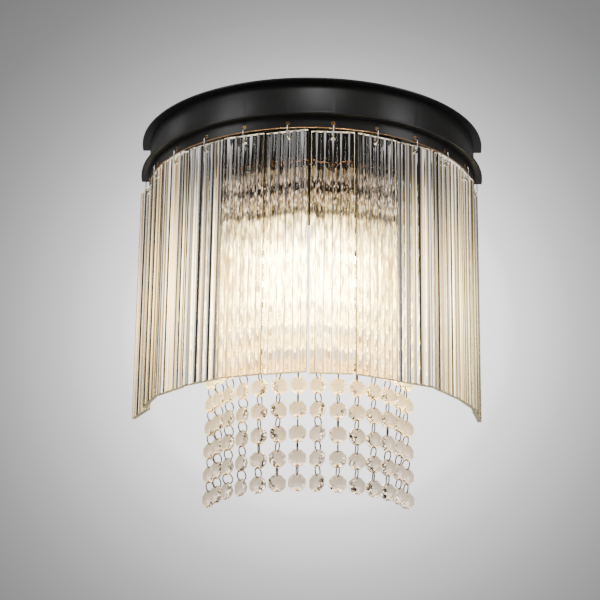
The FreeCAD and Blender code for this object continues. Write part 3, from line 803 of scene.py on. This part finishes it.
def bent_lead(path):
    """Lead as a round tube whose section frame is carried from point to point.

    Point (i, k) is p_i + radius (u_i cos a_k + v_i sin a_k): u_i is the u before it, made square
    to the path, and v_i is square to both.
    """
    along = np.gradient(path, axis=0)
    along /= np.linalg.norm(along, axis=1)[:, None]
    first = np.array([1.0, 0, 0])
    turn = full_turn(10)[:, None]
    rows = []
    for point, direction in zip(path, along):
        first = first - direction * (first @ direction)
        first = first / np.linalg.norm(first)
        second = np.cross(direction, first)
        rows.append(point + LEAD_RADIUS * (first * np.cos(turn) + second * np.sin(turn)))
    return np.concatenate(rows), capped_faces(len(path), 10)


def make_lamps():
    """Holders, bulbs, leads and strap screws on both sides."""
    low, top, body, groove = HOLDER_LOW_Z, HOLDER_TOP_Z, HOLDER_RADIUS, 12.9
    holder = [(7.3, low + 24), (7.3, low + 0.6), (7.9, low), (12.8, low), (body, low + 0.7),
              (body, low + 14), (groove, low + 14.6), (groove, low + 16), (body, low + 16.6),
              (body, top - 6), (12.9, top - 4.2), (10.6, top - 1.6), (9.0, top - 0.4), (8.4, top)]
    bulb = bulb_profile()
    screw = [(0.0, 2.6), (1.0, 2.6), (1.6, 2.1), (1.9, 1.2), (1.7, 0.9), (1.2, 0.6)]
    start = top + STRAP + NIPPLE_ABOVE
    rise, over, aside = 1.0, 9.0, 5.5          # the lead's first rise and its two bends
    run_y, run_z = -15.3, start + rise + over  # and its run to the middle
    bend = np.linspace(0, pi / 2, 9)
    holders, bulbs, leads, screws = [], [], [], []
    for side in (-1, 1):
        x = side * LAMP_X
        holders.append(turned(holder, (x, LAMP_Y)))
        bulbs.append(turned(bulb, (x, LAMP_Y)))
        path = [(x, LAMP_Y, start)]
        path += [(x, LAMP_Y + over - over * cos(t), start + rise + over * sin(t)) for t in bend]
        path += [(x - side * (aside - aside * cos(t)), run_y - aside + aside * sin(t), run_z)
                 for t in bend[1:]]
        path.append((side * 15.0, run_y, run_z))
        leads.append(bent_lead(np.array(path)))
        screws += [towards_front(screw, x + step, -CANOPY[3] - STRAP, top - 9.5, 20)
                   for step in (-5.0, 5.0)]
    show("candle_holders", join(holders), PHENOLIC, "frame", ["lamp_holders"])
    show("candle_bulbs", join(bulbs), BULB, "frame", ["bulb_glasses"])
    show("sleeved_leads", join(leads), SLEEVE, "frame", ["holder_leads"])
    show("strap_screws", join(screws), ZINC, "frame", ())


# ---------------------------------------------------------------- crystal plates and their links
def plate_shape():
    """Reeded plate: a section of round reeds carried down the plate, softened at both ends.

    The front of the section is y = -back + depth (1 - sin(pi u)), u running 0 to 1 over a reed.
    The drilled hole rides on the link's lower round end.
    """
    reach = LINK_HALF_WIDTH - LINK_WIRE / 2 - LINK_CLEARANCE
    bore_z = LINK_LOW_Z - sqrt(reach ** 2 - (PLATE_THICKNESS / 2) ** 2) - PLATE_HOLE / 2
    top = bore_z + PLATE_HOLE_INSET
    low = top - PLATE_LENGTH
    half, back, soft = PLATE_WIDTH / 2, PLATE_THICKNESS / 2, 0.3
    valley = -back + REED_DEPTH
    u = np.linspace(0, 1, 13)[:-1]
    front = [(half, valley)]
    for k in range(REED_COUNT):
        right = half - REED_MARGIN - k * REED_PITCH
        front += list(zip(right - REED_PITCH * u, valley - REED_DEPTH * np.sin(pi * u)))
    front += [(-half + REED_MARGIN, valley), (-half, valley)]
    section = np.array([(-half, back - soft), (-half + soft, back), (half - soft, back),
                        (half, back - soft)] + front)
    loops = []
    for inset, z in ((0.7, top), (0.15, top - 0.25), (0.0, top - 0.8), (0.0, low + 0.8),
                     (0.15, low + 0.25), (0.7, low)):
        shrink = np.array([1 - inset / half, 1 - inset / back * 0.5])
        loops.append(np.column_stack([section * shrink, np.full(len(section), z)]))
    solid = make_mesh("plate", np.concatenate(loops), capped_faces(len(loops), len(section)))
    return mesh_arrays(drilled(solid, [bored(PLATE_HOLE / 2, PLATE_THICKNESS, bore_z, 16)]))


def finish_plate(mesh, angle, lean):
    """Number the lines of light across a plate, and give its ground edges and back their finish.

    On the front plates a line is as wide as a reed. The side plates stand almost along the eye:
    there it is wider by 1 / (0.75 max(0.4, cos a)), a the degrees off the front, and the numbers
    are shifted by the plate's angle, so that no two plates look alike.
    """
    points, _ = mesh_arrays(mesh)
    turn, a = radians(lean + angle - 90), radians(angle - 90)
    middle = np.array([BAND_MIDDLE * sin(a), -BAND_MIDDLE * cos(a)])
    across = (points[:, :2] - middle) @ np.array([cos(turn), sin(turn)])
    at_side = abs(angle - 90) >= FRONT_REACH
    density = 0.75 * max(0.4, cos(a)) if at_side else 1.0
    lines = across / REED_PITCH * density + REED_COUNT / 2 + angle * at_side
    mesh.attributes.new("line", "FLOAT", "POINT").data.foreach_set("value",
                                                                   lines.astype(np.float32))
    for finish in (EDGE, FOOT, CLEAR):
        mesh.materials.append(finish)
    edge, foot, clear = 1, 2, 3
    side = Vector((cos(turn), sin(turn), 0))
    inward = Vector((-sin(turn), cos(turn), 0))
    for face in mesh.polygons:
        beside, behind = face.normal.dot(side), face.normal.dot(inward)
        if face.normal.z < -0.5 or abs(beside) > 0.9:
            face.material_index = foot
        elif face.normal.z > 0.5 or (beside > 0.5 and behind > 0.5):
            face.material_index = edge
        elif behind > 0.5:
            face.material_index = clear


def make_plates():
    """Twelve reeded plates, each turned about its link as it hangs."""
    points, faces = plate_shape()
    for k, angle in enumerate(end_angles(*PLATES)):
        name = "plate_%02d" % (k + 1)
        placed = round_the_drum(points, BAND_MIDDLE, angle, PLATE_LEAN[k])
        crystal = FRONT_CRYSTAL if abs(angle - 90) < FRONT_REACH else SIDE_CRYSTAL
        plate = show("crystal_" + name, (placed, faces), crystal, name, [name], 40)
        finish_plate(plate.data, angle, PLATE_LEAN[k])


def make_links():
    """Oval wire links: one round end through the band's hole, the other through the plate's."""
    end = LINK_HALF_WIDTH
    turn = np.linspace(0, pi, 9)
    path = [(0, end * cos(t), HOOK_HOLE_Z - end + end * sin(t)) for t in turn]
    path += [(0, -end * cos(t), LINK_LOW_Z - end * sin(t)) for t in turn]
    links = copies(ring_tube(path, LINK_WIRE / 2), BAND_MIDDLE, PLATES)
    show("wire_links", join(links), CHROME, "frame", ["plate_links"], 60)


# ---------------------------------------------------------------- bead strings
def bead_shape():
    """Octagon crystal: flat face, narrow bevel, thin girdle and two rows of facets to the back.

    Loops of eight points at (apothem, depth); the back loop is turned by half a step.
    """
    corner = 1 / cos(pi / 8)
    face_y = -BEAD_THICKNESS / 4
    step = np.arange(8) * pi / 4 + pi / 8
    loops = []
    for apothem, depth, shift in ((6.8, 0.0, 0.0), (BEAD_SIZE / 2, 0.3, 0.0),
                                  (BEAD_SIZE / 2, 0.9, 0.0), (4.4, 4.0, pi / 8)):
        angle = step + shift
        loops.append(np.stack([apothem * corner * np.cos(angle), np.full(8, face_y + depth),
                               apothem * corner * np.sin(angle)], 1))
    points = np.concatenate(loops + [np.array([[0.0, face_y + BEAD_THICKNESS - 0.6, 0.0]])])
    faces = [list(range(8))] + grid_faces(3, 8, wrap_columns=True)
    for k in range(8):
        after = (k + 1) % 8
        faces.append([16 + k, 16 + after, 24 + k])
        faces.append([16 + after, 24 + after, 24 + k])
        faces.append([24 + k, 24 + after, 32])
    holes = [bored(BEAD_HOLE, BEAD_CUT, side * BEAD_REACH, 6) for side in (1, -1)]
    return mesh_arrays(drilled(make_mesh("bead", points, faces), holes))


def jump_ring_shape():
    """Round wire ring in the plane x = 0."""
    turn = full_turn(18)
    return ring_tube(np.stack([0 * turn, JUMP_RING / 2 * np.cos(turn),
                               JUMP_RING / 2 * np.sin(turn)], 1), JUMP_WIRE / 2, 5)


def make_strings():
    """Fourteen strings of beads and jump rings, each string turned about itself as it hangs.

    A string comes to its full turn over its first three rows. The lit side of a bead's flat face
    follows from how far the bead is turned from the front.
    """
    draw = np.random.default_rng(7)
    bead_points, bead_faces = bead_shape()
    ring_points, ring_faces = jump_ring_shape()
    pitch = 2 * BEAD_REACH + JUMP_RING
    for s, angle in enumerate(end_angles(*STRINGS)):
        beads, rings, own = [], [], []
        for row in range(BEAD_ROWS):
            ring_z = STRING_HOLE_Z - JUMP_RING / 2 - row * pitch
            bead_z = ring_z - JUMP_RING / 2 - BEAD_REACH
            ring_turn = STRING_TURN[s] * min(row / 3, 1) + draw.normal(0, 7) * (row > 0)
            bead_turn = STRING_TURN[s] * min((row + 0.5) / 3, 1) + draw.normal(0, 4)
            rings.append((spun(ring_points, ring_turn) + [0, 0, ring_z], ring_faces))
            beads.append((spun(bead_points, bead_turn) + [0, 0, bead_z], bead_faces))
            seen = bead_turn + angle - 90
            clear_side = np.clip(-seen / 12, -1, 1) + draw.normal(0, 0.15)
            own.append(bead_points * 2 / BEAD_SIZE * [clear_side, 1, 1])
        body = "string_%02d" % (s + 1)
        points, faces = join(beads)
        piece = show(body + "_crystals", (round_the_drum(points, RING_RADIUS, angle), faces),
                     BEAD, body, [body + "_beads"], 12)
        face_the_beads(piece.data, np.concatenate(own))
        points, faces = join(rings)
        show(body + "_jump_rings", (round_the_drum(points, RING_RADIUS, angle), faces),
             WIRE, body, [body + "_rings"], 70)


def face_the_beads(mesh, own):
    """Store each point's place in its own bead, and give the flat faces their milky finish."""
    mesh.attributes.new("own", "FLOAT_VECTOR", "POINT").data.foreach_set(
        "vector", own.astype(np.float32).ravel())
    mesh.materials.append(TABLE)
    for face in mesh.polygons:
        if face.area > TABLE_AREA * MM ** 2:
            face.material_index = 1


# ---------------------------------------------------------------- stage, lights and camera
def softbox(name, centre, toward, size, power):
    """Soft rectangular studio light."""
    lamp = bpy.data.lights.new(name, "AREA")
    lamp.shape = "RECTANGLE"
    lamp.size, lamp.size_y = size
    lamp.energy = power
    made = bpy.data.objects.new(name, lamp)
    bpy.context.scene.collection.objects.link(made)
    made.location = centre
    made.rotation_mode = "QUATERNION"
    made.rotation_quaternion = (Vector(toward) - Vector(centre)).to_track_quat("-Z", "Y")


def stage_sheet(name, corners, centre, radius, stops, strength):
    """Flat matt sheet of the stage with a painted pool of light: it shines evenly by its distance
    from a centre.
    """
    made = Finish("painted_glow_" + name, Base_Color=(0.0, 0.0, 0.0), Roughness=1.0,
                  Specular_IOR_Level=0.0, Emission_Strength=strength)
    made.ramp(made.nearness(centre, radius), stops, "Emission Color")
    mesh = bpy.data.meshes.new(name)
    mesh.from_pydata(corners, [], [[0, 1, 2, 3]])
    mesh.materials.append(made.material)
    piece = bpy.data.objects.new(name, mesh)
    bpy.context.scene.collection.objects.link(piece)


def make_stage():
    """Floor far below and backdrop far behind, both pale with painted pools of light, both outside
    every view's way.
    """
    stage_sheet("floor", [(-6, -6, -2.2), (6, -6, -2.2), (6, 3.2, -2.2), (-6, 3.2, -2.2)],
                (0, 0, -2.2), 5.0, [(0.0, 0.25), (1.0, 0.7)], 1.0)
    stage_sheet("backdrop", [(-6, 3.2, -2.2), (6, 3.2, -2.2), (6, 3.2, 5), (-6, 3.2, 5)],
                (-0.01, 3.2, 0.94), 1.34,
                [(0.0, 0.067), (0.193, 0.097), (0.283, 0.128), (0.339, 0.153), (0.409, 0.2),
                 (0.437, 0.228), (0.516, 0.315), (0.563, 0.41), (0.62, 0.517), (0.652, 0.667),
                 (0.8, 0.9), (1.0, 1.0)], 3.0)


def make_lights():
    """Even studio room, pale to look at and dim as a light, and four softboxes."""
    world = bpy.data.worlds.new("studio")
    world.use_nodes = True
    nodes, links = world.node_tree.nodes, world.node_tree.links
    sky = nodes["Background"]
    sky.inputs["Color"].default_value = (1.0, 0.99, 0.98, 1)
    seen = nodes.new("ShaderNodeLightPath").outputs["Is Camera Ray"]
    level = nodes.new("ShaderNodeMapRange")
    level.inputs["To Min"].default_value = 0.1
    level.inputs["To Max"].default_value = 0.36
    links.new(seen, level.inputs["Value"])
    links.new(level.outputs["Result"], sky.inputs["Strength"])
    bpy.context.scene.world = world
    softbox("left_softbox", (-2.2, -1.6, 0.6), (0, -0.1, -0.1), (0.9, 1.8), 19)
    softbox("right_softbox", (2.3, -1.3, 0.5), (0, -0.1, -0.1), (0.8, 1.8), 16)
    softbox("side_softbox", (-2.3, 0.7, 0.9), (-0.1, -0.08, 0), (0.7, 1.4), 3)
    softbox("front_softbox", (0.2, -2.6, 1.7), (0, 0, 0), (0.9, 0.9), 18)


def make_camera():
    """Camera of the photograph: 1.64 m in front, 0.67 m below, looking up by 19 degrees."""
    yaw, pitch, roll = -0.0152, 0.3339, 0.013
    forward = Vector((sin(yaw) * cos(pitch), cos(yaw) * cos(pitch), sin(pitch)))
    right = Vector((cos(yaw), -sin(yaw), 0))
    up = right.cross(forward)
    tilted_right = right * cos(roll) + up * sin(roll)
    tilted_up = up * cos(roll) - right * sin(roll)
    lens = bpy.data.cameras.new("camera")
    lens.sensor_width = 36.0
    lens.lens = 120.12
    made = bpy.data.objects.new("camera", lens)
    bpy.context.scene.collection.objects.link(made)
    axes = Matrix((tilted_right, tilted_up, -forward)).transposed().to_4x4()
    made.matrix_world = Matrix.Translation((0.01598, -1.63609, -0.67185)) @ axes
    bpy.context.scene.camera = made


finish_cad_nodes()
make_drum()
make_hole_rims()
make_canopy()
make_cap_nuts()
make_lamps()
make_plates()
make_links()
make_strings()
make_stage()
make_lights()
make_camera()
